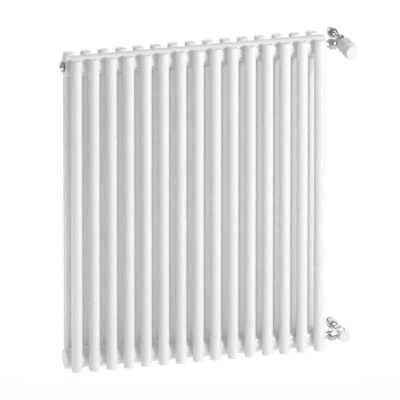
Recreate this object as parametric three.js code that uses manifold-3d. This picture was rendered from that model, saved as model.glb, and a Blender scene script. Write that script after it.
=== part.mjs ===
// Two-row tubular steel column radiator with a thermostatic angle valve and a lockshield angle valve.
// Millimetres. The origin is at mid length on the axis of the top header, where the wall brackets carry it.
// +X runs along the headers to the valve side, +Y to the wall, +Z up.

import * as THREE from 'three';
import { mergeVertices } from 'three/addons/utils/BufferGeometryUtils.js';
import Module from 'manifold-3d';

const wasm = await Module();
wasm.setup();

// ---------------------------------------------------------------- driving dimensions

const GAP = 0.3; // clearance between pieces that touch

const COLUMNS = 15;
const PITCH = 45;
const ROW_Y = 36; // from the header axes to each row of tubes
const TUBE_R = 14;
const TUBE_WALL = 1.5;
const TUBE_EDGE = 2; // bevel on the closed tube ends
const TUBE_OVERHANG = 25; // tube end past a header axis

const HEADER_SPACING = 765;
const HEADER_R = 26;
const HEADER_WALL = 2.5;
const PORT_R = 6;
const END_OVERHANG = 22.5; // header end past the axis of the last column
const END_PLATE = 5;
const END_EDGE = 2;
const BUSH_R = 14;
const BUSH_DEPTH = 14;

const THREAD_R = 10.2; // half-inch pipe thread of the tail pieces and the vent plug
const WATERWAY_R = 6.5;

const VENT_HEX_ACROSS_FLATS = 24;
const VENT_HEX_LENGTH = 7.2;
const VENT_COLLAR_R = 7.5;
const VENT_COLLAR_LENGTH = 1.2;
const BLEED_R = 2.9;
const BLEED_PROUD = 2;

const VALVE_OFFSET = 70; // valve axis past the axis of the last column
const NUT_START = 35; // union nut, from the axis of the last column
const NUT_END = 53;
const NUT_ACROSS_FLATS = 26;
const NUT_BORE_R = 11.9;
const NUT_EDGE = 1.4;

const BODY_FRONT = -12; // places along a valve axis; its back, towards the wall, is positive
const BODY_R = 13.5;
const BODY_RING_R = 14.7;
const BODY_RING_START = 13;
const BODY_RING_END = 31;
const NECK_START = 48;
const NECK_END = 52;
const SPIGOT_R = 9;
const SPIGOT_END = 88;
const ADAPTER_START = 42; // the adapter's thread reaches this far into the body's neck
const ADAPTER_END = 91.5;
const ADAPTER_THREAD_R = 7.1;
const ADAPTER_BORE_R = 5.5;
const CHAMBER_R = 8.5;
const SEAT_Y = 12;
const SEAT_R = 4.5;
const SEAT_LENGTH = 6;
const SOCKET_START = 70;
const PIPE_SOCKET_R = 7.7; // takes a 15 mm pipe
const BONNET_R = 8.2;
const BONNET_DEPTH = 5;

const PIPE_NUT_START = 66;
const PIPE_NUT_END = 108;

const HEAD_R = 20.5;
const HANDLE_R = 20.7;
const HANDLE_START = -28;
const HANDLE_STEP = -72;
const HANDLE_END = -84;
const HEAD_END = -91;
const GRIP_GROOVES = 8;
const GROOVE_R = 2;

const CAP_END = -31;
const CAP_WALL = 2.6;

const ROUND = 16; // sides of a round piece
const TUBE_SIDES = 12;
const FINE = 24; // sides of the turning handle and of the caps
const SMALL = 8; // sides of a small hole
const PORT_SIDES = 6;

// ---------------------------------------------------------------- materials

const finish = {
  enamel: { color: 0xf4f4f1, roughness: 0.25, metalness: 0 },
  chrome: { color: 0xd9dadb, roughness: 0.08, metalness: 1 },
  brass: { color: 0xb8964f, roughness: 0.35, metalness: 1 },
  steel: { color: 0xa6a8aa, roughness: 0.4, metalness: 1 },
  plastic: { color: 0xededea, roughness: 0.4, metalness: 0 },
};

// ---------------------------------------------------------------- shaping helpers

// Turns a geometry into a solid: shared corners are merged and slivers on the axis are dropped.
function solid(geometry) {
  const bare = geometry.clone();
  bare.deleteAttribute('normal');
  bare.deleteAttribute('uv');
  const merged = mergeVertices(bare, 1e-4);
  const place = merged.getAttribute('position');
  const index = merged.index.array;
  const corner = (i) => new THREE.Vector3().fromBufferAttribute(place, index[i]);
  const triangles = [];
  let volume = 0;
  for (let i = 0; i < index.length; i += 3) {
    const [a, b, c] = [index[i], index[i + 1], index[i + 2]];
    if (a === b || b === c || c === a) continue;
    triangles.push([a, b, c]);
    volume += corner(i).dot(corner(i + 1).cross(corner(i + 2)));
  }
  const outward = volume > 0 ? triangles : triangles.map(([a, b, c]) => [a, c, b]);
  return new wasm.Manifold(new wasm.Mesh({
    numProp: 3,
    vertProperties: new Float32Array(place.array),
    triVerts: new Uint32Array(outward.flat()),
  }));
}

const axisTurns = {
  x: (geometry) => geometry.rotateZ(-Math.PI / 2),
  y: (geometry) => geometry,
  z: (geometry) => geometry.rotateX(Math.PI / 2),
};

// A revolved solid about an axis through the origin. The profile is a list of [radius, place along the axis].
function turned(axis, profile, sides = ROUND, firstAngle = 0) {
  const points = profile.map(([radius, place]) => new THREE.Vector2(radius, place));
  return solid(axisTurns[axis](new THREE.LatheGeometry(points, sides, firstAngle, 2 * Math.PI)));
}

// A revolved ring: its profile closes on itself.
function ring(axis, profile, sides = ROUND, firstAngle = 0) {
  return turned(axis, [...profile, profile[0]], sides, firstAngle);
}

// A plain round bar from one place along the axis to another.
function bar(axis, radius, from, to, sides = ROUND, firstAngle = 0) {
  return turned(axis, [[0, from], [radius, from], [radius, to], [0, to]], sides, firstAngle);
}

// A hexagonal bar with bevelled ends and its corners to the front and the back.
function hexBar(acrossFlats, from, to, edge) {
  const corner = acrossFlats / Math.sqrt(3);
  const profile = [
    [0, from],
    [corner - edge, from],
    [corner, from + edge],
    [corner, to - edge],
    [corner - edge, to],
    [0, to],
  ];
  return turned('x', profile, 6, Math.PI / 6);
}

function geometryOf(shape) {
  const mesh = shape.getMesh();
  const geometry = new THREE.BufferGeometry();
  geometry.setAttribute('position', new THREE.BufferAttribute(new Float32Array(mesh.vertProperties), 3));
  geometry.setIndex(new THREE.BufferAttribute(new Uint32Array(mesh.triVerts), 1));
  geometry.computeVertexNormals();
  return geometry;
}

const radiator = new THREE.Group();

// Adds one named piece to a group, with a material of its own.
function add(group, name, geometry, look) {
  const mesh = new THREE.Mesh(geometry, new THREE.MeshStandardMaterial({ name, ...look }));
  mesh.name = name;
  group.add(mesh);
  return mesh;
}

// ---------------------------------------------------------------- columns

// One tube of the rear row, on the axis of the headers: closed ends, a bore, and a saddle cut at each header
// that opens the bore to the header's water port.
function columnShape() {
  const top = TUBE_OVERHANG;
  const bottom = -HEADER_SPACING - TUBE_OVERHANG;
  const outside = turned('z', [
    [0, bottom],
    [TUBE_R - TUBE_EDGE, bottom],
    [TUBE_R, bottom + TUBE_EDGE],
    [TUBE_R, top - TUBE_EDGE],
    [TUBE_R - TUBE_EDGE, top],
    [0, top],
  ], TUBE_SIDES).translate([0, ROW_Y, 0]);
  const bore = bar('z', TUBE_R - TUBE_WALL, bottom + TUBE_EDGE, top - TUBE_EDGE, SMALL)
    .translate([0, ROW_Y, 0]);
  const saddle = bar('x', HEADER_R + GAP, -PITCH / 2, PITCH / 2);
  return outside.subtract(bore).subtract(saddle).subtract(saddle.translate([0, 0, -HEADER_SPACING]));
}

const columnX = (i) => (i - (COLUMNS - 1) / 2) * PITCH;
const lastColumn = columnX(COLUMNS - 1);
const twoDigits = (i) => String(i + 1).padStart(2, '0');

const columnGeometry = geometryOf(columnShape());
for (let i = 0; i < COLUMNS; i += 1) {
  const front = add(radiator, `column_front_${twoDigits(i)}`, columnGeometry, finish.enamel);
  front.position.x = columnX(i);
  front.rotation.z = Math.PI;
  const rear = add(radiator, `column_rear_${twoDigits(i)}`, columnGeometry, finish.enamel);
  rear.position.x = columnX(i);
}

// ---------------------------------------------------------------- headers and their ends

const headerEnd = lastColumn + END_OVERHANG;

// A header pipe, bored, with a water port to the front and the rear tube of every column.
function headerShape() {
  const half = headerEnd - END_PLATE - GAP;
  const inner = HEADER_R - HEADER_WALL;
  const pipe = ring('x', [[inner, -half], [HEADER_R, -half], [HEADER_R, half], [inner, half]]);
  const port = bar('y', PORT_R, -HEADER_R - 1, HEADER_R + 1, PORT_SIDES);
  const ports = [];
  for (let i = 0; i < COLUMNS; i += 1) {
    ports.push(port.translate([columnX(i), 0, 0]));
  }
  return ports.reduce((shape, cut) => shape.subtract(cut), pipe);
}

const headerGeometry = geometryOf(headerShape());
const plateStart = headerEnd - END_PLATE;

// The plate that closes a header, with a threaded bush inside.
const bushedEnd = ring('x', [
  [THREAD_R + GAP, plateStart - BUSH_DEPTH],
  [BUSH_R, plateStart - BUSH_DEPTH],
  [BUSH_R, plateStart],
  [HEADER_R, plateStart],
  [HEADER_R, headerEnd - END_EDGE],
  [HEADER_R - END_EDGE, headerEnd],
  [THREAD_R + GAP, headerEnd],
]);

const blankEnd = turned('x', [
  [0, plateStart],
  [HEADER_R, plateStart],
  [HEADER_R, headerEnd - END_EDGE],
  [HEADER_R - END_EDGE, headerEnd],
  [0, headerEnd],
]);

// Everything on one header. An end is made for the right; half a turn puts it on the left.
function addHeader(name, height, leftEnd, leftShape, rightEnd) {
  const level = new THREE.Group();
  level.position.z = height;
  radiator.add(level);
  add(level, name, headerGeometry, finish.enamel);
  add(level, leftEnd, geometryOf(leftShape), finish.enamel).rotation.z = Math.PI;
  add(level, rightEnd, geometryOf(bushedEnd), finish.enamel);
  return level;
}

const topLevel = addHeader('header_top', 0, 'header_end_vent', bushedEnd, 'header_end_flow');
const bottomLevel = addHeader(
  'header_bottom', -HEADER_SPACING, 'header_end_blank', blankEnd, 'header_end_return',
);

// ---------------------------------------------------------------- air vent

const hexStart = headerEnd + GAP;
const hexEnd = hexStart + VENT_HEX_LENGTH;
const collarEnd = hexEnd + VENT_COLLAR_LENGTH;

const ventPlug = hexBar(VENT_HEX_ACROSS_FLATS, hexStart, hexEnd, 1)
  .add(bar('x', THREAD_R, plateStart - BUSH_DEPTH / 2, hexStart + 1))
  .add(bar('x', VENT_COLLAR_R, hexEnd - 1, collarEnd))
  .subtract(bar('x', BLEED_R + GAP, plateStart - BUSH_DEPTH, collarEnd + 1, SMALL));
add(topLevel, 'vent_plug', geometryOf(ventPlug), finish.chrome).rotation.z = Math.PI;

const bleedEnd = collarEnd + BLEED_PROUD;
const bleedSlot = solid(new THREE.BoxGeometry(2 * BLEED_PROUD - 1, 2 * BLEED_R + 1, 1).translate(bleedEnd, 0, 0));
const bleedScrew = bar('x', BLEED_R, plateStart - BUSH_DEPTH / 2, bleedEnd, SMALL).subtract(bleedSlot);
add(topLevel, 'bleed_screw', geometryOf(bleedScrew), finish.chrome).rotation.z = Math.PI;

// ---------------------------------------------------------------- pieces that both valves have

const portStart = NUT_START + 7.3 - VALVE_OFFSET; // end face of the body's side port, from the valve axis

// Angle body: side port to the union nut, threaded neck to the wall, chamber with the seat, thread for the bonnet.
function bodyShape() {
  const outside = turned('y', [
    [0, BODY_FRONT],
    [BODY_R, BODY_FRONT],
    [BODY_R, BODY_RING_START],
    [BODY_RING_R, BODY_RING_START],
    [BODY_RING_R, BODY_RING_END],
    [BODY_R, BODY_RING_END],
    [SPIGOT_R, NECK_START],
    [SPIGOT_R, NECK_END],
    [0, NECK_END],
  ]);
  const sidePort = bar('x', NUT_BORE_R - GAP, portStart, 0);
  const waterways = [
    bar('x', WATERWAY_R, portStart - 1, 0, SMALL),
    bar('y', CHAMBER_R, BODY_FRONT - 1, SEAT_Y),
    bar('y', SEAT_R, SEAT_Y - 1, SEAT_Y + SEAT_LENGTH + 1, SMALL),
    bar('y', WATERWAY_R - 0.5, SEAT_Y + SEAT_LENGTH, ADAPTER_START + 1, SMALL),
    bar('y', ADAPTER_THREAD_R + GAP, ADAPTER_START, NECK_END + 1),
  ];
  return waterways.reduce((shape, cut) => shape.subtract(cut), outside.add(sidePort));
}

// Pipe adapter screwed into the neck. Its socket takes the pipe; the nut squeezes the thin end on to it.
const pipeAdapter = ring('y', [
  [ADAPTER_BORE_R, ADAPTER_START + GAP],
  [ADAPTER_THREAD_R, ADAPTER_START + GAP],
  [ADAPTER_THREAD_R, NECK_END + GAP],
  [SPIGOT_R, NECK_END + GAP],
  [SPIGOT_R, SPIGOT_END],
  [SPIGOT_R - 0.5, ADAPTER_END],
  [PIPE_SOCKET_R, ADAPTER_END],
  [PIPE_SOCKET_R, SOCKET_START],
  [ADAPTER_BORE_R, SOCKET_START],
]);

// Threaded tail with the collar that the union nut pulls against the body.
const tailPiece = ring('x', [
  [WATERWAY_R, 8],
  [THREAD_R, 8],
  [THREAD_R, NUT_START + 3.6],
  [NUT_BORE_R - GAP, NUT_START + 3.6],
  [NUT_BORE_R - GAP, NUT_START + 7],
  [WATERWAY_R, NUT_START + 7],
]);

const unionNut = hexBar(NUT_ACROSS_FLATS, NUT_START, NUT_END, NUT_EDGE)
  .subtract(bar('x', THREAD_R + GAP, NUT_START - 1, NUT_START + 4))
  .subtract(bar('x', NUT_BORE_R, NUT_START + 3.3, NUT_END + 1));

// Ball-shaped compression nut; the thread is wide, the mouth fits the pipe.
const pipeNut = ring('y', [
  [SPIGOT_R + GAP, PIPE_NUT_START],
  [SPIGOT_R + 1.4, PIPE_NUT_START],
  [12.2, PIPE_NUT_START + 7],
  [13.5, PIPE_NUT_START + 16],
  [13.7, PIPE_NUT_START + 24],
  [13.2, PIPE_NUT_START + 33],
  [11, PIPE_NUT_END - 1],
  [10.4, PIPE_NUT_END],
  [PIPE_SOCKET_R, PIPE_NUT_END],
  [PIPE_SOCKET_R, PIPE_NUT_END - 12],
  [SPIGOT_R + GAP, PIPE_NUT_END - 15.6],
]);

// The pieces of a valve that join it to the radiator and to the pipe. Returns the group on the valve axis.
function addValve(level, side, bodyName) {
  const atLastColumn = new THREE.Group();
  atLastColumn.position.x = lastColumn;
  level.add(atLastColumn);
  add(atLastColumn, `${side}_tail_piece`, geometryOf(tailPiece), finish.chrome);
  add(atLastColumn, `${side}_union_nut`, geometryOf(unionNut), finish.chrome);
  const onAxis = new THREE.Group();
  onAxis.position.x = VALVE_OFFSET;
  atLastColumn.add(onAxis);
  add(onAxis, bodyName, geometryOf(bodyShape()), finish.chrome);
  add(onAxis, `${side}_pipe_adapter`, geometryOf(pipeAdapter), finish.chrome);
  add(onAxis, `${side}_pipe_nut`, geometryOf(pipeNut), finish.chrome);
  return onAxis;
}

// ---------------------------------------------------------------- thermostatic valve

const flowValve = addValve(topLevel, 'flow', 'thermostatic_valve_body');

const STEM_R = 2;
const STEM_END = -26;
const CUP_FLOOR = BODY_FRONT - 0.6;
const CUP_END = -24;
const FLANGE_R = 11.8;
const FLANGE_END = -15.6;

const valveBonnet = ring('y', [
  [STEM_R + GAP, BODY_FRONT + BONNET_DEPTH],
  [BONNET_R, BODY_FRONT + BONNET_DEPTH],
  [BONNET_R, BODY_FRONT - GAP],
  [FLANGE_R, BODY_FRONT - GAP],
  [FLANGE_R, FLANGE_END],
  [8, FLANGE_END],
  [8, CUP_END],
  [5.2, CUP_END],
  [5.2, CUP_FLOOR],
  [STEM_R + GAP, CUP_FLOOR],
]);
add(flowValve, 'valve_bonnet', geometryOf(valveBonnet), finish.brass);

const valveStem = turned('y', [
  [0, STEM_END],
  [STEM_R, STEM_END],
  [STEM_R, -23.4],
  [4.6, -23.4],
  [4.6, -22.4],
  [STEM_R, -22.4],
  [STEM_R, 5.5],
  [6, 5.5],
  [6, SEAT_Y - 2.8],
  [0, SEAT_Y - 2.8],
], SMALL);
add(flowValve, 'valve_stem', geometryOf(valveStem), finish.steel);

// Return spring between the bonnet's floor and the collar of the stem.
const SPRING_R = 3.6;
const SPRING_WIRE_R = 0.45;
const SPRING_TURNS = 4;
const SPRING_FROM = CUP_FLOOR - 0.3 - SPRING_WIRE_R;
const SPRING_TO = -22.4 + 0.3 + SPRING_WIRE_R;

class Helix extends THREE.Curve {
  getPoint(t, target = new THREE.Vector3()) {
    const angle = 2 * Math.PI * SPRING_TURNS * t;
    const along = THREE.MathUtils.lerp(SPRING_FROM, SPRING_TO, t);
    return target.set(SPRING_R * Math.cos(angle), along, SPRING_R * Math.sin(angle));
  }
}

const WIRE_SIDES = 5;
const wireOutline = [];
for (let i = 0; i < WIRE_SIDES; i += 1) {
  const angle = (2 * Math.PI * i) / WIRE_SIDES;
  wireOutline.push(new THREE.Vector2(SPRING_WIRE_R * Math.cos(angle), SPRING_WIRE_R * Math.sin(angle)));
}
const springGeometry = new THREE.ExtrudeGeometry(new THREE.Shape(wireOutline), {
  steps: SPRING_TURNS * 8,
  extrudePath: new Helix(),
});
add(flowValve, 'return_spring', geometryOf(solid(springGeometry)), finish.steel);

// Ring nut that clamps the head on the bonnet; its cone is the visible start of the head.
const headCollarNut = ring('y', [
  [FLANGE_R + GAP, BODY_FRONT - 0.5],
  [14.5, BODY_FRONT - 0.5],
  [17, -16.5],
  [12.4, -16.5],
  [12.4, CUP_END],
  [8 + GAP, CUP_END],
  [8 + GAP, FLANGE_END - GAP],
  [FLANGE_R + GAP, FLANGE_END - GAP],
]);
add(flowValve, 'head_collar_nut', geometryOf(headCollarNut), finish.chrome);

const BASE_TUBE_R = 9.3;
const BASE_TUBE_END = -60;

// Fixed part of the head: shoulder, floor with the hole for the push pin, and the tube that the handle turns on.
const headBase = ring('y', [
  [12.7, -16.8],
  [17.3, -16.8],
  [19.6, -18.6],
  [HEAD_R, -21.5],
  [HEAD_R, HANDLE_START],
  [11.5, HANDLE_START],
  [11.5, BASE_TUBE_END],
  [BASE_TUBE_R, BASE_TUBE_END],
  [BASE_TUBE_R, HANDLE_START],
  [STEM_R + 0.6, HANDLE_START],
  [STEM_R + 0.6, CUP_END - GAP],
  [12.7, CUP_END - GAP],
]);
add(flowValve, 'head_base', geometryOf(headBase), finish.plastic);

const sensorCapsule = turned('y', [
  [0, -74],
  [BASE_TUBE_R - GAP, -74],
  [BASE_TUBE_R - GAP, HANDLE_START - 3],
  [STEM_R - 0.2, HANDLE_START - 3],
  [STEM_R - 0.2, STEM_END - GAP],
  [0, STEM_END - GAP],
]);
add(flowValve, 'sensor_capsule', geometryOf(sensorCapsule), finish.brass);

// Turning handle: a cup with a smaller front step, a hub round the capsule and grip grooves along both steps.
function handleShape() {
  const cup = turned('y', [
    [0, HANDLE_END],
    [18.4, HANDLE_END],
    [19.3, HANDLE_STEP - 1],
    [HANDLE_R, HANDLE_STEP],
    [HANDLE_R, HANDLE_START - GAP],
    [17.2, HANDLE_START - GAP],
    [17.2, -78],
    [11.3, -78],
    [11.3, BASE_TUBE_END - 2],
    [BASE_TUBE_R + 0.1, BASE_TUBE_END - 2],
    [BASE_TUBE_R + 0.1, -78],
    [0, -78],
  ], FINE);
  const groove = bar('y', GROOVE_R, HANDLE_END - 1, HANDLE_START - 4, 6)
    .translate([HANDLE_R + GROOVE_R - 1.4, 0, 0]);
  let shape = cup;
  for (let i = 0; i < GRIP_GROOVES; i += 1) {
    shape = shape.subtract(groove.rotate([0, (360 * i) / GRIP_GROOVES, 0]));
  }
  return shape;
}
add(flowValve, 'head_handle', geometryOf(handleShape()), finish.plastic);

const headEndCap = turned('y', [
  [0, HEAD_END],
  [15, HEAD_END],
  [16.6, HEAD_END + 1.2],
  [18.1, HANDLE_END - GAP],
  [0, HANDLE_END - GAP],
], FINE);
add(flowValve, 'head_end_cap', geometryOf(headEndCap), finish.plastic);

// ---------------------------------------------------------------- lockshield valve

const returnValve = addValve(bottomLevel, 'return', 'lockshield_valve_body');

const SPINDLE_R = 3;
const SPINDLE_END = -22.4;
const SPINDLE_THREAD_R = 2.6;
const KEY_SOCKET_R = 1.8;
const KEY_DEPTH = 4;
const TOWER_END = -19.5;

const lockshieldBonnet = ring('y', [
  [SPINDLE_R + GAP, BODY_FRONT + BONNET_DEPTH],
  [BONNET_R, BODY_FRONT + BONNET_DEPTH],
  [BONNET_R, BODY_FRONT - GAP],
  [FLANGE_R, BODY_FRONT - GAP],
  [FLANGE_R, -16.5],
  [7, -16.5],
  [7, TOWER_END],
  [SPINDLE_R + GAP, TOWER_END],
]);
add(returnValve, 'lockshield_bonnet', geometryOf(lockshieldBonnet), finish.brass);

const lockshieldSpindle = turned('y', [
  [0, SPINDLE_END],
  [SPINDLE_R, SPINDLE_END],
  [SPINDLE_R, -4],
  [SPINDLE_THREAD_R, -4],
  [SPINDLE_THREAD_R, 7.5],
  [0, 7.5],
], SMALL).subtract(bar('y', KEY_SOCKET_R, SPINDLE_END - 1, SPINDLE_END + KEY_DEPTH, 6));
add(returnValve, 'lockshield_spindle', geometryOf(lockshieldSpindle), finish.brass);

// Regulating cone: the spindle's thread runs in its socket and drives it on to the seat.
const lockshieldCone = turned('y', [
  [0, 8],
  [SPINDLE_THREAD_R + GAP, 8],
  [SPINDLE_THREAD_R + GAP, 0.8],
  [6, 0.8],
  [6, 6],
  [3.8, SEAT_Y - 1],
  [0, SEAT_Y - 1],
], SMALL);
add(returnValve, 'lockshield_cone', geometryOf(lockshieldCone), finish.brass);

const lockshieldCap = turned('y', [
  [0, CAP_END],
  [BODY_RING_R - 1.4, CAP_END],
  [BODY_RING_R, CAP_END + 1.4],
  [BODY_RING_R, BODY_FRONT - 0.6],
  [BODY_RING_R - CAP_WALL, BODY_FRONT - 0.6],
  [BODY_RING_R - CAP_WALL, CAP_END + CAP_WALL],
  [0, CAP_END + CAP_WALL],
], FINE);
add(returnValve, 'lockshield_cap', geometryOf(lockshieldCap), finish.plastic);

export default radiator;
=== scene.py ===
# %% [markdown]
# # A tubular column radiator with its two valves
# This lesson dresses a finished mechanical model of a wall-hung radiator. The mechanical model fixes where
# every piece is and how it moves. Here each visible piece is modelled again, smooth and with its small
# details, and gets the finish of the real material: white stoving enamel on steel tube, chrome plate on
# turned and forged brass, and satin white ABS on the thermostatic head.

# %% Load the frame
import math

import bpy
import bmesh
from mathutils import Matrix, Vector


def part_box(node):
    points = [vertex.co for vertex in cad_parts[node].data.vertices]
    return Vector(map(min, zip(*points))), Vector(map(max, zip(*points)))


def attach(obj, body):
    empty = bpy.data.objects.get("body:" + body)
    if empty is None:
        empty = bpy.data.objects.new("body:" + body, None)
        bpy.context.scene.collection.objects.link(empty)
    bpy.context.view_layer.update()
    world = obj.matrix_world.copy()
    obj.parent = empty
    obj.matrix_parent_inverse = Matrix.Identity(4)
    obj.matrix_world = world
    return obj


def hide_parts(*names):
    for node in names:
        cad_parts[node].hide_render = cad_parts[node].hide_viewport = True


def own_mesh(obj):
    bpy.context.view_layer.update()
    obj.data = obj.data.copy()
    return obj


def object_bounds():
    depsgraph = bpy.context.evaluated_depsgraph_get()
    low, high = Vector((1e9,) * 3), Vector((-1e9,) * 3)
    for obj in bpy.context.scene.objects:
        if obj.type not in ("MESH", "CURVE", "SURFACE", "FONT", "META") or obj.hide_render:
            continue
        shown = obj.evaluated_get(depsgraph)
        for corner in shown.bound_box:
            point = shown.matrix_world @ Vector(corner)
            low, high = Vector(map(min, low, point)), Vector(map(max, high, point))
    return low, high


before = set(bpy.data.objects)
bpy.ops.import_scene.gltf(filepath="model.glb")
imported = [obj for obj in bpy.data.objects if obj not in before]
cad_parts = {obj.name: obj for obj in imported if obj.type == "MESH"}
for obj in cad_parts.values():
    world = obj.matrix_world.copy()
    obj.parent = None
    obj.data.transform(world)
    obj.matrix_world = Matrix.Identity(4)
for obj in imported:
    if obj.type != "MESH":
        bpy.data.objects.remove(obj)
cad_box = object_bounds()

# %% [markdown]
# Everything is placed from the frame, in metres. Three small readers give the stretch of a node along an
# axis, the middle of that stretch, and a node's radius, so that no place is typed in twice.

# %% Read places from the frame
MM = 0.001
AXES = {"x": Vector((1, 0, 0)), "y": Vector((0, 1, 0)), "z": Vector((0, 0, 1))}


def span(node, axis):
    low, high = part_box(node)
    return getattr(low, axis), getattr(high, axis)


def middle(node, axis):
    return sum(span(node, axis)) / 2


def radius_of(node, axis):
    low, high = span(node, axis)
    return (high - low) / 2


COLUMNS = sum(name.startswith("column_front_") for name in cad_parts)
HEADER_HEIGHTS = {"top": middle("header_top", "z"), "bottom": middle("header_bottom", "z")}
HEADER_R = span("header_top", "y")[1]
TUBE_R = radius_of("column_rear_01", "x")
ROW_Y = middle("column_rear_01", "y")
VALVE_X = middle("flow_pipe_nut", "x")
print("columns:", COLUMNS, "header radius mm:", round(HEADER_R / MM, 1), "tube radius mm:", round(TUBE_R / MM, 1))

# %% [markdown]
# The camera stands far off with a long lens, so that upright tubes stay parallel, as in a catalogue
# picture. It looks at the radiator from the front left and a little above.

# %% Camera
VIEW_TURN = math.radians(-16.0)
VIEW_RISE = math.radians(17.9)
LENS = 1400.0
PICTURE_WIDTH = 0.999  # metres of the object across the picture
AIM = Vector((0.0149, 0.0, -0.3793))

camera_data = bpy.data.cameras.new("camera")
camera = bpy.data.objects.new("camera", camera_data)
bpy.context.scene.collection.objects.link(camera)
bpy.context.scene.camera = camera
camera_data.lens = LENS
camera_data.sensor_width = 36.0
camera_distance = PICTURE_WIDTH * LENS / camera_data.sensor_width
backwards = Vector((
    math.sin(VIEW_TURN) * math.cos(VIEW_RISE),
    -math.cos(VIEW_TURN) * math.cos(VIEW_RISE),
    math.sin(VIEW_RISE),
))
camera.location = AIM + backwards * camera_distance
camera.rotation_mode = "QUATERNION"
camera.rotation_quaternion = (-backwards).to_track_quat("-Z", "Y")
camera_data.clip_start = 1.0
camera_data.clip_end = 200.0
print("camera distance m:", round(camera_distance, 2))

# %% [markdown]
# A plain pale floor under the radiator, and soft light. One large lamp stands at the front right, as high as
# the top of the radiator is wide, so that every tube goes from grey on its left to nearly white on its right.
# A tall narrow lamp at the left draws a thin bright line down the first tubes. A third lamp hangs behind and
# looks straight down: it only whitens the floor at the back.

# %% Floor and light
FLOOR_SIZE = 120.0
FLOOR_DROP = 0.6  # a wall-hung radiator stands clear of the floor

bpy.ops.object.select_all(action="DESELECT")
bpy.ops.mesh.primitive_plane_add(size=FLOOR_SIZE, location=(0, 0, cad_box[0].z - FLOOR_DROP))
floor = bpy.context.object
floor.name = "floor"

world = bpy.data.worlds.new("soft_ceiling")
bpy.context.scene.world = world
world.use_nodes = True


def lamp(name, place, aim, width, height, power):
    data = bpy.data.lights.new(name, "AREA")
    data.shape = "RECTANGLE"
    data.size = width
    data.size_y = height
    data.energy = power
    made = bpy.data.objects.new(name, data)
    bpy.context.scene.collection.objects.link(made)
    made.location = place
    made.rotation_mode = "QUATERNION"
    made.rotation_quaternion = (Vector(aim) - Vector(place)).to_track_quat("-Z", "Y")
    made.visible_camera = False
    return made


lamp("key", (1.9, -3.2, 1.5), AIM, 1.2, 1.0, 97)
lamp("edge", (-1.9, 0.25, -0.85), (-0.3, 0, -0.5), 0.2, 0.9, 5.5)
lamp("background", (1.0, 3.6, 0.5), (1.0, 3.6, -2.0), 4.5, 4.5, 75)
bpy.context.scene.view_settings.view_transform = "Standard"
print("floor height m:", round(floor.location.z, 3))

# %% [markdown]
# ## Materials
# Colours are picked as sRGB hex values, and one function turns them into the linear numbers that shaders
# use. A second small function adds a node with its settings and its links, and every finish is built with it.

# %% Colour and node helpers
def linear(hex_colour):
    channels = [int(hex_colour[i:i + 2], 16) / 255 for i in (1, 3, 5)]
    return [c / 12.92 if c <= 0.04045 else ((c + 0.055) / 1.055) ** 2.4 for c in channels] + [1.0]


def add_node(tree, kind, links=None, values=None, **settings):
    made = tree.nodes.new(kind)
    for name, value in settings.items():
        setattr(made, name, value)
    for socket, value in (values or {}).items():
        made.inputs[socket].default_value = value
    for socket, source in (links or {}).items():
        tree.links.new(source, made.inputs[socket])
    return made


def new_material(name):
    material = bpy.data.materials.new(name)
    material.use_nodes = True
    tree = material.node_tree
    place = add_node(tree, "ShaderNodeTexCoord").outputs["Object"]
    return material, tree, tree.nodes["Principled BSDF"], place


def per_metre(size_mm):
    return 1.0 / (size_mm * MM)


# %% [markdown]
# The ceiling of the light is a gradient on the world: bright overhead, dimmer at the horizon. The dimmer
# band is what chrome needs, because a mirror in an all-white room only looks like white paint.

# %% World gradient
ZENITH = 0.62
HORIZON = 0.24
tree = world.node_tree
direction = add_node(tree, "ShaderNodeTexCoord").outputs["Generated"]
height = add_node(tree, "ShaderNodeSeparateXYZ", {"Vector": direction}).outputs["Z"]
brightness = add_node(
    tree, "ShaderNodeMapRange", {"Value": height},
    {"From Min": 0.45, "From Max": 0.9, "To Min": HORIZON, "To Max": ZENITH}, interpolation_type="SMOOTHSTEP",
)
tree.links.new(brightness.outputs["Result"], tree.nodes["Background"].inputs["Strength"])
tree.nodes["Background"].inputs["Color"].default_value = linear("#FFFFFF")

floor_material, tree, shader, place = new_material("matt_white_floor_paint")
mottle = add_node(tree, "ShaderNodeTexNoise", {"Vector": place}, {"Scale": 1.5, "Detail": 2.0})
shade = add_node(
    tree, "ShaderNodeMix", {"Factor": mottle.outputs["Fac"]},
    {"A": linear("#F6F6F6"), "B": linear("#FAFAFA")}, data_type="RGBA",
)
tree.links.new(shade.outputs["Result"], shader.inputs["Base Color"])
shader.inputs["Roughness"].default_value = 0.9
floor.data.materials.append(floor_material)
print("world from", HORIZON, "to", ZENITH)

# %% [markdown]
# **Stoving enamel on steel tube.** Radiators are dipped and powder coated, then baked: a thick, glossy,
# slightly warm white. Up close the surface is not flat but has a shallow orange-peel ripple a few
# millimetres long, which makes the reflections of lamps waver. Colour varies hardly at all.

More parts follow.
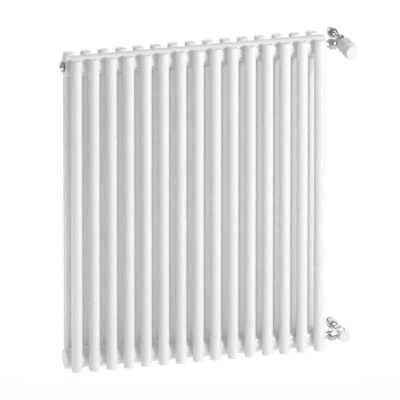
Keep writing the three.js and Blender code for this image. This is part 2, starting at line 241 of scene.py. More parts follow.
# %% Enamel
def stoving_enamel():
    material, tree, shader, place = new_material("stoving_enamel_on_steel")
    thickness = add_node(tree, "ShaderNodeTexNoise", {"Vector": place}, {"Scale": per_metre(60), "Detail": 3.0})
    tint = add_node(
        tree, "ShaderNodeMix", {"Factor": thickness.outputs["Fac"]},
        {"A": linear("#F4F4F4"), "B": linear("#F7F7F7")}, data_type="RGBA",
    )
    tree.links.new(tint.outputs["Result"], shader.inputs["Base Color"])
    gloss = add_node(
        tree, "ShaderNodeMapRange", {"Value": thickness.outputs["Fac"]},
        {"To Min": 0.22, "To Max": 0.3},
    )
    tree.links.new(gloss.outputs["Result"], shader.inputs["Roughness"])
    peel = add_node(tree, "ShaderNodeTexNoise", {"Vector": place}, {"Scale": per_metre(3), "Detail": 1.0})
    ripple = add_node(
        tree, "ShaderNodeBump", {"Height": peel.outputs["Fac"]}, {"Strength": 0.2, "Distance": 0.02 * MM},
    )
    tree.links.new(ripple.outputs["Normal"], shader.inputs["Normal"])
    shader.inputs["IOR"].default_value = 1.52
    shader.inputs["Coat Weight"].default_value = 0.5
    shader.inputs["Coat Roughness"].default_value = 0.06
    return material


enamel = stoving_enamel()
print("made", enamel.name)

# %% [markdown]
# **Chrome plate on brass.** The forgings are polished before plating, so the plate is a near-perfect mirror
# with a faint haze where hands and cloths have been. It has hardly any colour of its own.

# %% Chrome
def chrome_plate():
    material, tree, shader, place = new_material("chrome_plate_on_brass")
    shader.inputs["Metallic"].default_value = 1.0
    haze = add_node(tree, "ShaderNodeTexNoise", {"Vector": place}, {"Scale": per_metre(9), "Detail": 4.0})
    tint = add_node(
        tree, "ShaderNodeMix", {"Factor": haze.outputs["Fac"]},
        {"A": linear("#C6C8CA"), "B": linear("#D6D7D9")}, data_type="RGBA",
    )
    tree.links.new(tint.outputs["Result"], shader.inputs["Base Color"])
    gloss = add_node(
        tree, "ShaderNodeMapRange", {"Value": haze.outputs["Fac"]},
        {"From Min": 0.35, "From Max": 0.7, "To Min": 0.05, "To Max": 0.14},
    )
    tree.links.new(gloss.outputs["Result"], shader.inputs["Roughness"])
    return material


chrome = chrome_plate()
print("made", chrome.name)

# %% [markdown]
# **Turned brass and turned stainless steel.** The pieces inside the valves are left as the lathe made them:
# fine rings round the axis, which break the highlight into a soft band. The real feed marks are about a
# tenth of a millimetre apart; they are drawn four times coarser so that they show.

# %% Turned metals
def turned_metal(name, dark, light, roughness):
    material, tree, shader, place = new_material(name)
    shader.inputs["Metallic"].default_value = 1.0
    tarnish = add_node(tree, "ShaderNodeTexNoise", {"Vector": place}, {"Scale": per_metre(6), "Detail": 4.0})
    tint = add_node(
        tree, "ShaderNodeMix", {"Factor": tarnish.outputs["Fac"]},
        {"A": linear(dark), "B": linear(light)}, data_type="RGBA",
    )
    tree.links.new(tint.outputs["Result"], shader.inputs["Base Color"])
    feed = add_node(
        tree, "ShaderNodeTexWave", {"Vector": place},
        {"Scale": per_metre(0.4) / 20, "Distortion": 0.4, "Detail": 1.0}, bands_direction="Y",
    )
    gloss = add_node(
        tree, "ShaderNodeMapRange", {"Value": feed.outputs["Fac"]},
        {"To Min": roughness - 0.06, "To Max": roughness + 0.08},
    )
    tree.links.new(gloss.outputs["Result"], shader.inputs["Roughness"])
    marks = add_node(
        tree, "ShaderNodeBump", {"Height": feed.outputs["Fac"]}, {"Strength": 0.3, "Distance": 0.03 * MM},
    )
    tree.links.new(marks.outputs["Normal"], shader.inputs["Normal"])
    return material


brass = turned_metal("turned_brass", "#A9853F", "#C6A55C", 0.28)
stainless = turned_metal("turned_stainless_steel", "#9A9C9F", "#B9BBBD", 0.3)
print("made", brass.name, "and", stainless.name)

# %% [markdown]
# **Moulded ABS.** The head and the cap are injection moulded in a spark-eroded steel tool, which leaves a
# fine satin grain. The grain of the tool is some tenths of a millimetre; it is drawn at about one millimetre
# so that the satin breaks up a little in the picture.

# %% ABS
def moulded_abs(name, low, high):
    material, tree, shader, place = new_material(name)
    flow = add_node(tree, "ShaderNodeTexNoise", {"Vector": place}, {"Scale": per_metre(14), "Detail": 2.0})
    tint = add_node(
        tree, "ShaderNodeMix", {"Factor": flow.outputs["Fac"]},
        {"A": linear(low), "B": linear(high)}, data_type="RGBA",
    )
    tree.links.new(tint.outputs["Result"], shader.inputs["Base Color"])
    grain = add_node(tree, "ShaderNodeTexNoise", {"Vector": place}, {"Scale": per_metre(1), "Detail": 2.0})
    gloss = add_node(
        tree, "ShaderNodeMapRange", {"Value": grain.outputs["Fac"]},
        {"From Min": 0.3, "From Max": 0.7, "To Min": 0.34, "To Max": 0.46},
    )
    tree.links.new(gloss.outputs["Result"], shader.inputs["Roughness"])
    satin = add_node(
        tree, "ShaderNodeBump", {"Height": grain.outputs["Fac"]}, {"Strength": 0.3, "Distance": 0.04 * MM},
    )
    tree.links.new(satin.outputs["Normal"], shader.inputs["Normal"])
    shader.inputs["IOR"].default_value = 1.54
    return material


white_abs = moulded_abs("moulded_white_abs", "#EFEFEF", "#F4F4F4")
print("made", white_abs.name)

# %% [markdown]
# **Rubber.** The sealing rings are moulded nitrile rubber: black, matt, a little dusty.

# %% Rubber
def nitrile_rubber():
    material, tree, shader, place = new_material("nitrile_rubber")
    dust = add_node(tree, "ShaderNodeTexNoise", {"Vector": place}, {"Scale": per_metre(2), "Detail": 3.0})
    tint = add_node(
        tree, "ShaderNodeMix", {"Factor": dust.outputs["Fac"]},
        {"A": linear("#161616"), "B": linear("#262625")}, data_type="RGBA",
    )
    tree.links.new(tint.outputs["Result"], shader.inputs["Base Color"])
    shader.inputs["Roughness"].default_value = 0.6
    return material


rubber = nitrile_rubber()
print("made", rubber.name)

# %% [markdown]
# ## Workshop helpers
# Every piece is shaped with the same few moves. `only` selects one object, `apply_place` moves an object's
# place into its mesh, `apply_modifier` adds a modifier and applies it, and `dress` gives the finished piece
# its material and the body it rides on, and hides the mechanical nodes it stands for.

# %% Helpers
def only(piece):
    if bpy.context.object is not None and bpy.context.object.mode != "OBJECT":
        bpy.ops.object.mode_set(mode="OBJECT")
    bpy.ops.object.select_all(action="DESELECT")
    piece.select_set(True)
    bpy.context.view_layer.objects.active = piece


def named(name):
    piece = bpy.context.object
    piece.name = name
    piece.data.name = name
    return piece


def apply_place(piece):
    only(piece)
    bpy.ops.object.transform_apply(location=True, rotation=True, scale=True)
    return piece


def apply_modifier(piece, kind, **settings):
    only(piece)
    modifier = piece.modifiers.new(kind.lower(), kind)
    for name, value in settings.items():
        setattr(modifier, name, value)
    bpy.ops.object.modifier_apply(modifier=modifier.name)
    return piece


def combine(piece, other, operation):
    apply_modifier(piece, "BOOLEAN", operation=operation, solver="EXACT", object=other)
    bpy.data.objects.remove(other)
    return piece


def soften(piece, width, segments=3, angle=30):
    return apply_modifier(
        piece, "BEVEL", width=width, segments=segments, limit_method="ANGLE",
        angle_limit=math.radians(angle), miter_outer="MITER_ARC",
    )


def smooth(piece, angle=35):
    only(piece)
    bpy.ops.object.shade_smooth_by_angle(angle=math.radians(angle))
    return piece


def copy_of(piece, name, move):
    made = piece.copy()
    made.data = piece.data.copy()
    made.name = name
    made.data.name = name
    bpy.context.scene.collection.objects.link(made)
    made.data.transform(move)
    return made


def dress(piece, material, body, slot, *nodes):
    piece.data.materials.clear()
    piece.data.materials.append(material)
    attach(piece, body)
    if nodes:
        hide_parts(*nodes)
    return piece


# %% [markdown]
# Most pieces of a valve are turned on a lathe, and they are modelled the same way: one vertex is extruded
# along half of the section, and the spin operator carries the section round the axis. A section is a list of
# (radius, place along the axis) in metres. A hollow piece has a section that comes back to its start.

# %% The lathe
def turned(name, axis, centre, section, steps=96):
    along = AXES[axis]
    outward = AXES["z"] if axis != "z" else AXES["x"]
    points = [Vector(centre) + outward * radius + along * place for radius, place in section]
    only(floor)
    bpy.ops.mesh.primitive_plane_add(size=MM, location=points[0])
    piece = named(name)
    apply_place(piece)
    bpy.ops.object.mode_set(mode="EDIT")
    bpy.ops.mesh.select_mode(type="VERT")
    bpy.ops.mesh.select_all(action="SELECT")
    bpy.ops.mesh.merge(type="CENTER")
    for here, there in zip(points, points[1:]):
        bpy.ops.mesh.extrude_region_move(TRANSFORM_OT_translate={"value": there - here})
    bpy.ops.mesh.select_all(action="SELECT")
    bpy.ops.mesh.spin(steps=steps, angle=2 * math.pi, center=centre, axis=along)
    bpy.ops.mesh.select_all(action="SELECT")
    bpy.ops.mesh.remove_doubles(threshold=0.002 * MM)
    bpy.ops.mesh.normals_make_consistent(inside=False)
    bpy.ops.object.mode_set(mode="OBJECT")
    return piece


def closed(section):
    return section + [section[0]]


def select_in_edit(piece, kind, test):
    only(piece)
    bpy.ops.object.mode_set(mode="EDIT")
    bpy.ops.mesh.select_mode(type=kind)
    bpy.ops.mesh.select_all(action="DESELECT")
    mesh = bmesh.from_edit_mesh(piece.data)
    elements = {"VERT": mesh.verts, "EDGE": mesh.edges, "FACE": mesh.faces}[kind]
    chosen = [element for element in elements if test(element)]
    for element in chosen:
        element.select_set(True)
    mesh.select_flush_mode()
    bmesh.update_edit_mesh(piece.data)
    return len(chosen)


def angle_about_y(point, x, z):
    return math.degrees(math.atan2(point.z - z, point.x - x)) % 360


# %% [markdown]
# ## The columns
# A column is a plain steel tube, 28 mm across, cut to length and closed with a flat disc whose weld is
# ground to a soft round edge. One tube of the rear row is modelled: a cylinder, its two end rims bevelled,
# and the saddle that lets it sit on the headers cut with a boolean. The others are copies of it, and the
# front row is the rear row turned half round the headers.

# %% Columns
RIM_ROUND = 2.6 * MM
TUBE_SIDES = 64


def model_column():
    low, high = span("column_rear_01", "z")
    only(floor)
    bpy.ops.mesh.primitive_cylinder_add(
        vertices=TUBE_SIDES, radius=TUBE_R, depth=high - low, location=(0, ROW_Y, (low + high) / 2),
    )
    tube = apply_place(named("column"))
    rims = select_in_edit(
        tube, "EDGE",
        lambda edge: abs(edge.verts[0].co.z - edge.verts[1].co.z) < MM,
    )
    bpy.ops.mesh.bevel(offset=RIM_ROUND, segments=6, affect="EDGES")
    bpy.ops.object.mode_set(mode="OBJECT")
    for height in HEADER_HEIGHTS.values():
        only(floor)
        bpy.ops.mesh.primitive_cylinder_add(
            vertices=128, radius=HEADER_R, depth=6 * TUBE_R, location=(0, 0, height),
            rotation=(0, math.pi / 2, 0),
        )
        combine(tube, named("saddle_cutter"), "DIFFERENCE")
    print("column: rim edges", rims, "faces", len(tube.data.polygons))
    return smooth(tube)


column = model_column()
half_turn = Matrix.Rotation(math.pi, 4, "Z")
for number in range(1, COLUMNS + 1):
    for row, turn in (("front", half_turn), ("rear", Matrix.Identity(4))):
        node = f"column_{row}_{number:02d}"
        place = Matrix.Translation((middle(node, "x"), 0, 0)) @ turn
        dress(copy_of(column, f"tube_{row}_{number:02d}", place), enamel, "radiator", "enamelled_steel", node)
bpy.data.objects.remove(column)
print("columns placed:", 2 * COLUMNS)

# %% [markdown]
# ## The headers
# The two headers are wider pipes that lie between the rows and carry the water along. Each is a cylinder
# whose ends are inset by the wall and pushed in for the bore. Round discs close them: the blank one is a
# plain disc, and the others have a threaded bush in the middle.

# %% Headers
HEADER_WALL = 2.5 * MM
END_ROUND = 3.0 * MM


def model_header(level):
    node = f"header_{level}"
    low, high = span(node, "x")
    seam = span("header_end_flow", "x")[1] - high - 5 * MM
    low, high = low - seam, high + seam
    only(floor)
    bpy.ops.mesh.primitive_cylinder_add(
        vertices=128, radius=HEADER_R, depth=high - low, location=((low + high) / 2, 0, HEADER_HEIGHTS[level]),
        rotation=(0, math.pi / 2, 0),
    )
    pipe = apply_place(named(f"{level}_header_pipe"))
    select_in_edit(pipe, "FACE", lambda face: abs(face.normal.x) > 0.9)
    bpy.ops.mesh.inset(thickness=HEADER_WALL, depth=0)
    bpy.ops.mesh.inset(thickness=0, depth=-40 * MM)
    bpy.ops.object.mode_set(mode="OBJECT")
    return dress(smooth(pipe), enamel, "radiator", "enamelled_steel", node)


def model_header_end(node, bore):
    low, high = span(node, "x")
    outward = 1 if high > 0 else -1
    outer = high if outward > 0 else low
    inner = outer - outward * 5 * MM
    corner = [
        (HEADER_R - END_ROUND * (1 - math.cos(a)), outer - outward * END_ROUND * (1 - math.sin(a)))
        for a in (math.radians(15 * i) for i in range(7))
    ]
    section = [(bore, inner), (HEADER_R, inner)] + corner + [(bore, outer)]
    if bore:
        section = closed([(bore, inner - outward * 14 * MM), (14 * MM, inner - outward * 14 * MM), (14 * MM, inner)]
                         + section[1:])
    height = middle(node, "z")
    plate = turned(f"{node}_plate", "x", (0, 0, height), section, steps=128)
    return dress(smooth(plate), enamel, "radiator", "enamelled_steel", node)


for level in HEADER_HEIGHTS:
    model_header(level)
BUSH_BORE = 10.5 * MM
for node, bore in (
    ("header_end_vent", BUSH_BORE), ("header_end_flow", BUSH_BORE),
    ("header_end_return", BUSH_BORE), ("header_end_blank", 0),
):
    model_header_end(node, bore)
print("headers:", list(HEADER_HEIGHTS))

# %% [markdown]
# ## The welds
# Each tube is welded to the headers, and the enamel runs over the weld as a smooth narrow bead. The bead
# follows the line where the two pipes meet. A circle with as many points as the bead needs is laid on that
# line by the formula of the two cylinders, turned into a curve, and thickened.

# %% Weld beads
BEAD_R = 1.7 * MM
BEAD_POINTS = 48


def seam_point(turn):
    widest = math.sqrt(TUBE_R ** 2 - (ROW_Y - HEADER_R) ** 2)
    x = widest * math.cos(turn)
    y = ROW_Y - math.sqrt(TUBE_R ** 2 - x ** 2)
    z = math.copysign(math.sqrt(max(HEADER_R ** 2 - y ** 2, 0)), math.sin(turn))
    return Vector((x, y, z))


def model_bead():
    only(floor)
    bpy.ops.mesh.primitive_circle_add(vertices=BEAD_POINTS, radius=TUBE_R)
    bead = named("weld_bead")
    for number, vertex in enumerate(bead.data.vertices):
        vertex.co = seam_point(2 * math.pi * (number + 0.5) / BEAD_POINTS)
    only(bead)
    bpy.ops.object.convert(target="CURVE")
    bead.data.bevel_depth = BEAD_R
    bead.data.bevel_resolution = 2
    bpy.ops.object.convert(target="MESH")
    only(bead)
    bpy.ops.object.mode_set(mode="EDIT")
    bpy.ops.mesh.select_all(action="SELECT")
    bpy.ops.mesh.remove_doubles(threshold=0.01 * MM)
    bpy.ops.mesh.normals_make_consistent(inside=False)
    bpy.ops.object.mode_set(mode="OBJECT")
    return smooth(bead, 60)


bead = model_bead()
for level, height in HEADER_HEIGHTS.items():
    beads = []
    for number in range(1, COLUMNS + 1):
        for turn in (half_turn, Matrix.Identity(4)):
            place = Matrix.Translation((middle(f"column_rear_{number:02d}", "x"), 0, height)) @ turn
            beads.append(copy_of(bead, f"bead_{level}_{len(beads)}", place))
    only(beads[0])
    for other in beads[1:]:
        other.select_set(True)
    bpy.ops.object.join()
    welds = named(f"{level}_weld_beads")
    dress(welds, enamel, "radiator", "enamelled_steel")
    print(welds.name, "faces", len(welds.data.polygons))
bpy.data.objects.remove(bead)

# %% [markdown]
# ## Hexagons
# A forged hexagon has flats for the spanner and a turned chamfer that takes off the six corners at each end.
# It is modelled as it is made: a six-sided prism, and a turned shape with sloping ends that keeps only what
# both share. A small bevel then breaks all the edges, as polishing does before the plating.

# %% Hexagon maker
def hexagon(name, centre, across_flats, low, high, both_ends=True):
    corner = across_flats / math.sqrt(3)
    only(floor)
    bpy.ops.mesh.primitive_cylinder_add(
        vertices=6, radius=corner, depth=high - low,
        location=((low + high) / 2, centre[1], centre[2]), rotation=(0, math.pi / 2, 0),
    )
    prism = apply_place(named(name))
    bpy.ops.object.mode_set(mode="EDIT")
    bpy.ops.mesh.select_all(action="SELECT")
    tall = prism.dimensions.z > prism.dimensions.y
    if tall:
        bpy.ops.transform.rotate(value=math.radians(30), orient_axis="X", center_override=centre)
    bpy.ops.object.mode_set(mode="OBJECT")
    flat = across_flats / 2
    slope = (corner - 0.96 * flat) * math.tan(math.radians(35))
    start = low + slope if both_ends else low
    chamfer = turned(
        "chamfer", "x", (0, centre[1], centre[2]),
        [
            (0, low), (0.96 * flat if both_ends else corner + MM, low), (corner, start), (corner, high - slope),
            (0.96 * flat, high), (0, high),
        ],
    )
    return combine(prism, chamfer, "INTERSECT")


# %% [markdown]
# ## The air vent
# The plug in the upper left end lets trapped air out. A rubber ring seals it against the end disc, the
# hexagon takes a spanner, and the little screw in the middle is loosened with a screwdriver.

# %% Air vent
def model_vent():
    low, high = span("vent_plug", "x")
    end_face = span("header_end_vent", "x")[0]
    centre = (0, 0, HEADER_HEIGHTS["top"])
    collar = 1.2 * MM
    hex_low = low + collar
    hex_high = end_face - 1.1 * MM
    plug = hexagon("vent_plug_hexagon", (hex_low, 0, centre[2]), 24 * MM, hex_low, hex_high)
    hub = turned("hub", "x", centre, [
        (0, high), (10.2 * MM, high), (10.2 * MM, hex_high - 1 * MM), (7.5 * MM, hex_high - 1 * MM),
        (7.5 * MM, low + 0.5 * MM), (7.0 * MM, low), (0, low),
    ])
    combine(plug, hub, "UNION")
    well = turned("well", "x", centre, [(0, low - MM), (3.3 * MM, low - MM), (3.3 * MM, low + 9 * MM), (0, low + 9 * MM)])
    combine(plug, well, "DIFFERENCE")
    soften(plug, 0.3 * MM, 2, 25)
    dress(smooth(plug), chrome, "radiator", "chromed_brass", "vent_plug")
    ring = [
        ((11.2 + 0.9 * math.cos(a)) * MM, end_face - 0.55 * MM + 0.75 * MM * math.sin(a))
        for a in (2 * math.pi * i / 12 for i in range(12))
    ]
    seal = turned("vent_seal_ring", "x", centre, closed(ring))
    dress(smooth(seal, 60), rubber, "radiator", "chromed_brass")
    return plug


def model_bleed_screw():
    low, high = span("bleed_screw", "x")
    radius = radius_of("bleed_screw", "y")
    centre = (0, 0, HEADER_HEIGHTS["top"])
    screw = turned("bleed_screw_head", "x", centre, [
        (0, high), (radius, high), (radius, low + 0.5 * MM), (radius - 0.5 * MM, low), (0, low),
    ], steps=48)
    only(floor)
    bpy.ops.mesh.primitive_cube_add(size=1, location=(low, 0, centre[2]), scale=(3 * MM, 3 * radius, 1 * MM))
    combine(screw, apply_place(named("slot")), "DIFFERENCE")
    soften(screw, 0.12 * MM, 2)
    return dress(smooth(screw), chrome, "bleed_screw_body", "chromed_brass", "bleed_screw")


model_vent()
model_bleed_screw()
print("air vent made")

# %% [markdown]
# ## What both valves share
# A tail piece is screwed into the header, and a union nut pulls it on to the valve body, so that the
# radiator can be taken off the wall. The body is a hot brass forging, turned, polished and plated: a barrel
# with a side port for the union, a fluted collar and a neck. The pipe nut at its back is ball-shaped with
# ribs for the hand. Ribs are made on the lathe shape by squeezing every fourth line of points inwards.

# %% Ribs
def squeeze_lines(piece, centre, per_turn, low, high, least_radius, share):
    pitch = 360 / per_turn

    def in_valley(vertex):
        point = vertex.co
        radius = math.hypot(point.x - centre[0], point.z - centre[2])
        angle = angle_about_y(point, centre[0], centre[2])
        off = abs((angle + pitch / 2) % pitch - pitch / 2)
        return low < point.y < high and radius > least_radius and off < pitch / 8
    count = select_in_edit(piece, "VERT", in_valley)
    bpy.ops.transform.resize(value=(share, 1, share), center_override=centre)
    bpy.ops.object.mode_set(mode="OBJECT")
    return count


# %% [markdown]
# The tail piece shows only its neck between the header and the nut. A thin collar seats it against the
# header end. The union nut is a hexagon with a turned bore.

# %% Tail piece and union nut
def model_union(side, height):
    tail_node, nut_node = f"{side}_tail_piece", f"{side}_union_nut"
    centre = (0, 0, height)
    tail_low, tail_high = span(tail_node, "x")
    end_face = span("header_end_flow", "x")[1]
    low, high = span(nut_node, "x")
    tail = turned(f"{side}_tail", "x", centre, closed([
        (6.5 * MM, tail_low), (10.2 * MM, tail_low), (10.2 * MM, end_face),
        (12.4 * MM, end_face), (12.4 * MM, end_face + 1.8 * MM), (10.2 * MM, end_face + 2.6 * MM),
        (9.6 * MM, end_face + 3.4 * MM), (9.6 * MM, low - 2 * MM), (10.2 * MM, low - 1 * MM),
        (10.2 * MM, tail_high - 3.4 * MM), (11.6 * MM, tail_high - 3.4 * MM), (11.6 * MM, tail_high),
        (6.5 * MM, tail_high),
    ]))
    soften(tail, 0.25 * MM, 2)
    dress(smooth(tail), chrome, "radiator", "chromed_brass", tail_node)
    nut = hexagon(f"{side}_union_hexagon", (low, 0, height), 26 * MM, low, high)
    bore = turned("bore", "x", centre, [
        (0, low - MM), (10.5 * MM, low - MM), (10.5 * MM, low + 3.3 * MM), (11.9 * MM, low + 3.3 * MM),
        (11.9 * MM, high + MM), (0, high + MM),
    ])
    combine(nut, bore, "DIFFERENCE")
    soften(nut, 0.35 * MM, 3, 25)
    dress(smooth(nut), chrome, "radiator", "chromed_brass", nut_node)


for side, level in (("flow", "top"), ("return", "bottom")):
    model_union(side, HEADER_HEIGHTS[level])
print("unions made")

# %% [markdown]
# The body's barrel is turned, its fluted collar squeezed in, and the side port, turned on its own axis, is
# joined to it with a boolean. The inside of the neck stays open, because the pipe adapter is screwed into it.

# %% Valve bodies
FLUTES = 36


def model_body(node, name, height):
    front, back = span(node, "y")
    port_face = span(node, "x")[0]
    centre = (VALVE_X, 0, height)
    barrel = turned(name, "y", centre, [
        (0, front), (13.1 * MM, front), (13.5 * MM, front + 0.4 * MM), (13.5 * MM, 11.6 * MM),
        (13.9 * MM, 12.4 * MM), (14.3 * MM, 13.2 * MM), (14.7 * MM, 14.2 * MM), (14.7 * MM, 16 * MM),
        (14.7 * MM, 28 * MM), (14.7 * MM, 29.8 * MM), (14.3 * MM, 30.8 * MM), (13.6 * MM, 31.6 * MM),
        (12.8 * MM, 36 * MM), (11.4 * MM, 42 * MM), (10.0 * MM, 46 * MM), (9.2 * MM, 48.5 * MM),
        (9.0 * MM, 50 * MM), (9.0 * MM, back), (7.4 * MM, back), (7.4 * MM, back - 10 * MM),
        (6.0 * MM, back - 10.5 * MM), (6.0 * MM, 24 * MM), (0, 24 * MM),
    ], steps=4 * FLUTES)
    squeeze_lines(barrel, centre, FLUTES, 14 * MM, 30 * MM, 14 * MM, 0.95)
    port = turned("port", "x", (0, 0, height), closed([
        (6.5 * MM, port_face), (11.2 * MM, port_face), (11.6 * MM, port_face + 0.4 * MM),
        (11.6 * MM, VALVE_X - 4 * MM), (6.5 * MM, VALVE_X - 4 * MM),
    ]))
    combine(barrel, port, "UNION")
    return dress(smooth(barrel), chrome, "radiator", "chromed_brass", node)


model_body("thermostatic_valve_body", "thermostatic_body", HEADER_HEIGHTS["top"])
model_body("lockshield_valve_body", "lockshield_body", HEADER_HEIGHTS["bottom"])
print("bodies made")

# %% [markdown]
# Behind each body comes the pipe from the wall. A chromed adapter ring is screwed into the neck and closes on
# the pipe; only its smooth collar shows. The nut that squeezes it is a hollow ball, turned in one go and then
# ribbed, and its back is open for the pipe.

# %% Pipe adapters and pipe nuts
RIBS = 24


def model_pipe_adapter(side, height):
    node = f"{side}_pipe_adapter"
    low, high = span(node, "y")
    neck_end = span("thermostatic_valve_body", "y")[1] + 0.3 * MM
    ring = turned(f"{side}_adapter_ring", "y", (VALVE_X, 0, height), closed([
        (5.5 * MM, low), (6.9 * MM, low), (7.1 * MM, low + 0.2 * MM), (7.1 * MM, neck_end),
        (8.8 * MM, neck_end), (9.0 * MM, neck_end + 0.2 * MM), (9.0 * MM, high - 3.5 * MM),
        (8.5 * MM, high), (7.7 * MM, high), (7.7 * MM, high - 21.5 * MM), (5.5 * MM, high - 21.5 * MM),
    ]))
    return dress(smooth(ring), chrome, "radiator", "chromed_brass", node)


def ball_section(low, high, end_radius, radius, points=16):
    return [
        (end_radius + (radius - end_radius) * math.sin(math.pi * i / points) ** 0.75,
         low + (high - low) * i / points)
        for i in range(points + 1)
    ]


def model_pipe_nut(side, height):
    node = f"{side}_pipe_nut"
    low, high = span(node, "y")
    radius = radius_of(node, "x")
    centre = (VALVE_X, 0, height)
    outside = ball_section(low + 1.2 * MM, high - 1 * MM, 10.4 * MM, radius)
    nut = turned(f"{side}_ribbed_nut", "y", centre, closed(
        [(9.3 * MM, low), (10.0 * MM, low)] + outside
        + [(10.0 * MM, high), (8.2 * MM, high), (7.7 * MM, high - 0.5 * MM), (7.7 * MM, high - 12 * MM),
           (9.3 * MM, high - 15.6 * MM)]
    ), steps=4 * RIBS)
    lines = squeeze_lines(nut, centre, RIBS, low + 3 * MM, high - 3 * MM, 10.3 * MM, 0.93)
    print(nut.name, "points squeezed", lines)
    return dress(smooth(nut, 50), chrome, "radiator", "chromed_brass", node)


for side, level in (("flow", "top"), ("return", "bottom")):
    model_pipe_adapter(side, HEADER_HEIGHTS[level])
    model_pipe_nut(side, HEADER_HEIGHTS[level])

# %% [markdown]
# ## The thermostatic head
# A chromed ring nut clamps the head to the valve. The base behind the handle is fixed; the handle turns on
# it. The handle is a moulded cup in two steps with eight flat-bottomed grip grooves, which are inset into
# its lathe shape, and a flat cap closes its front.

# %% Head
GROOVES = 8
GROOVE_HALF_ANGLE = 5.1


def model_collar_nut():
    low, high = span("head_collar_nut", "y")
    centre = (VALVE_X, 0, HEADER_HEIGHTS["top"])
    cone_end = high - 4 * MM
    nut = turned("head_ring_nut", "y", centre, closed([
        (12.1 * MM, high), (14.1 * MM, high), (14.6 * MM, high - 0.5 * MM), (15.7 * MM, high - 2 * MM),
        (16.8 * MM, cone_end + 0.4 * MM), (16.8 * MM, cone_end), (12.4 * MM, cone_end), (12.4 * MM, low),
        (8.3 * MM, low), (8.3 * MM, high - 3.4 * MM), (12.1 * MM, high - 3.4 * MM),
    ]), steps=4 * FLUTES)
    squeeze_lines(nut, centre, FLUTES, high - 3 * MM, high - 0.4 * MM, 14.3 * MM, 0.96)
    return dress(smooth(nut), chrome, "radiator", "chromed_brass", "head_collar_nut")


def model_head_base():
    low, high = span("head_base", "y")
    radius = radius_of("head_base", "x")
    rim = span("head_handle", "y")[1] + 0.3 * MM
    shoulder = high - rim
    centre = (VALVE_X, 0, HEADER_HEIGHTS["top"])
    curve = [
        (17.3 * MM + (radius - 17.3 * MM) * math.sin(a), high - 0.55 * shoulder * (1 - math.cos(a)))
        for a in (math.radians(15 * i) for i in range(7))
    ]
    base = turned("head_base_shell", "y", centre, closed(
        [(12.7 * MM, high)] + curve
        + [(radius, rim + 0.4 * MM), (radius - 0.4 * MM, rim), (11.5 * MM, rim), (11.5 * MM, low),
           (9.3 * MM, low), (9.3 * MM, rim), (2.6 * MM, rim), (2.6 * MM, rim + 3.7 * MM), (12.7 * MM, rim + 3.7 * MM)]
    ), steps=128)
    return dress(smooth(base), white_abs, "radiator", "white_abs", "head_base")


def model_handle():
    front, back = span("head_handle", "y")
    radius = radius_of("head_handle", "x")
    centre = (VALVE_X, 0, HEADER_HEIGHTS["top"])
    step = front + 12 * MM
    handle = turned("turning_grip", "y", centre, [
        (0, front), (18.0 * MM, front), (18.4 * MM, front + 0.4 * MM), (18.55 * MM, front + 1.6 * MM),
        (19.1 * MM, step - 2.4 * MM), (19.3 * MM, step - 1 * MM), (19.5 * MM, step - 0.4 * MM),
        (radius - 0.5 * MM, step), (radius, step + 0.5 * MM), (radius, step + 2.4 * MM),
        (radius, back - 3 * MM), (radius, back - 0.5 * MM), (radius - 0.5 * MM, back), (17.2 * MM, back),
        (17.2 * MM, front + 6 * MM), (0, front + 6 * MM),
    ], steps=GROOVES * 18)

    def in_groove(face):
        point = face.calc_center_median()
        angle = angle_about_y(point, centre[0], centre[2])
        pitch = 360 / GROOVES
        off = abs((angle + pitch / 2) % pitch - pitch / 2)
        far_out = math.hypot(point.x - centre[0], point.z - centre[2]) > 18.3 * MM
        lengthwise = face.calc_area() > 2.5 * MM * 0.7 * MM
        rear = step + 2.3 * MM < point.y < back - 2.9 * MM
        fore = front + 1.5 * MM < point.y < step - 2.3 * MM
        return off < GROOVE_HALF_ANGLE and far_out and lengthwise and (rear or fore)
    count = select_in_edit(handle, "FACE", in_groove)
    bpy.ops.mesh.inset(thickness=0.6 * MM, depth=-1.8 * MM, use_even_offset=True)
    bpy.ops.object.mode_set(mode="OBJECT")
    soften(handle, 0.25 * MM, 2, 28)
    print("grip groove faces", count)
    return dress(smooth(handle), white_abs, "turning_handle", "white_abs", "head_handle")


def model_head_cap():
    front, back = span("head_end_cap", "y")
    centre = (VALVE_X, 0, HEADER_HEIGHTS["top"])
    face = 15.2 * MM
    rim = [
        (face + 1.5 * MM * math.sin(a), front + 0.25 * MM + 1.5 * MM * (1 - math.cos(a)))
        for a in (math.radians(15 * i) for i in range(6))
    ]
    cap = turned("head_front_cap", "y", centre, [
        (0, front), (7 * MM, front + 0.02 * MM), (face - 1.2 * MM, front + 0.12 * MM),
    ] + rim + [
        (17.6 * MM, back - 1.0 * MM), (17.6 * MM, back - 0.6 * MM), (17.2 * MM, back), (0, back),
    ], steps=128)
    return dress(smooth(cap), white_abs, "turning_handle", "white_abs", "head_end_cap")


model_collar_nut()
model_head_base()
model_handle()
model_head_cap()
print("thermostatic head made")

# %% [markdown]
# ## The lockshield side
# The lower valve is set once with a key and then covered with a plain cap that pulls off. Under it are the
# bonnet with its hexagon and the spindle with a socket for the key.

# %% Lockshield cap, bonnet and spindle
def model_lockshield_cap():
    front, back = span("lockshield_cap", "y")
    radius = radius_of("lockshield_cap", "x")
    centre = (VALVE_X, 0, HEADER_HEIGHTS["bottom"])
    edge = 1.8 * MM
    rim = [
        (radius - edge * (1 - math.sin(a)), front + edge * (1 - math.cos(a)))
        for a in (math.radians(15 * i) for i in range(7))
    ]
    cap = turned("lockshield_pull_cap", "y", centre, [(0, front), (8 * MM, front)] + rim + [
        (radius, back - 2.6 * MM), (radius - 0.35 * MM, back - 2.3 * MM), (radius - 0.35 * MM, back - 1.7 * MM),
        (radius, back - 1.4 * MM), (radius, back - 0.3 * MM), (radius - 0.3 * MM, back),
        (radius - 2.6 * MM, back), (radius - 2.6 * MM, front + 2.6 * MM), (0, front + 2.6 * MM),
    ], steps=128)
    return dress(smooth(cap), white_abs, "cap", "white_abs", "lockshield_cap")


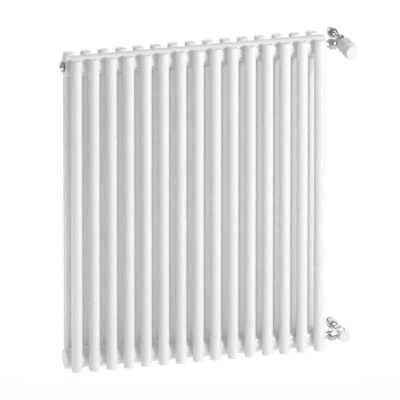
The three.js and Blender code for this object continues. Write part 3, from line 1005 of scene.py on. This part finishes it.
def model_lockshield_bonnet():
    low, high = span("lockshield_bonnet", "y")
    centre = (VALVE_X, 0, HEADER_HEIGHTS["bottom"])
    bonnet = turned("lockshield_gland", "y", centre, closed([
        (3.3 * MM, high), (8.2 * MM, high), (8.2 * MM, high - 5.3 * MM), (11.8 * MM, high - 5.3 * MM),
        (11.8 * MM, high - 9.5 * MM), (7 * MM, high - 9.5 * MM), (7 * MM, low), (3.3 * MM, low),
    ]))
    soften(bonnet, 0.3 * MM, 2)
    return dress(smooth(bonnet), brass, "radiator", "plain_brass", "lockshield_bonnet")


def model_spindle():
    low, high = span("lockshield_spindle", "y")
    centre = (VALVE_X, 0, HEADER_HEIGHTS["bottom"])
    spindle = turned("lockshield_key_spindle", "y", centre, [
        (0, low), (2.6 * MM, low), (3.0 * MM, low + 0.4 * MM), (3.0 * MM, -4 * MM), (2.6 * MM, -4 * MM),
        (2.6 * MM, high), (0, high),
    ], steps=48)
    only(floor)
    bpy.ops.mesh.primitive_cylinder_add(
        vertices=6, radius=1.8 * MM, depth=8 * MM, location=(VALVE_X, low, centre[2]),
        rotation=(math.pi / 2, 0, 0),
    )
    combine(spindle, apply_place(named("key_socket")), "DIFFERENCE")
    return dress(smooth(spindle), brass, "spindle", "plain_brass", "lockshield_spindle")


model_lockshield_cap()
model_lockshield_bonnet()
model_spindle()
print("lockshield pieces made")

# %% [markdown]
# The pieces sealed inside the valves keep their mechanical shape and only get their finish. The return spring
# sits between the bonnet and the collar of the stem. When the head pushes the stem in, the spring gets shorter
# by the stem's travel. Here its stretch along the axis is read, and it is given a mesh of its own.

# %% Inner pieces
INNER_FINISH = {
    "valve_bonnet": brass, "lockshield_cone": brass, "sensor_capsule": brass,
    "valve_stem": stainless, "return_spring": stainless,
}
for node, material in INNER_FINISH.items():
    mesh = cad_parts[node].data
    mesh.materials.clear()
    mesh.materials.append(material)
print("inner pieces finished:", len(INNER_FINISH))

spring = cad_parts["return_spring"]
spring_free, spring_seat = span("return_spring", "y")
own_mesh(spring)
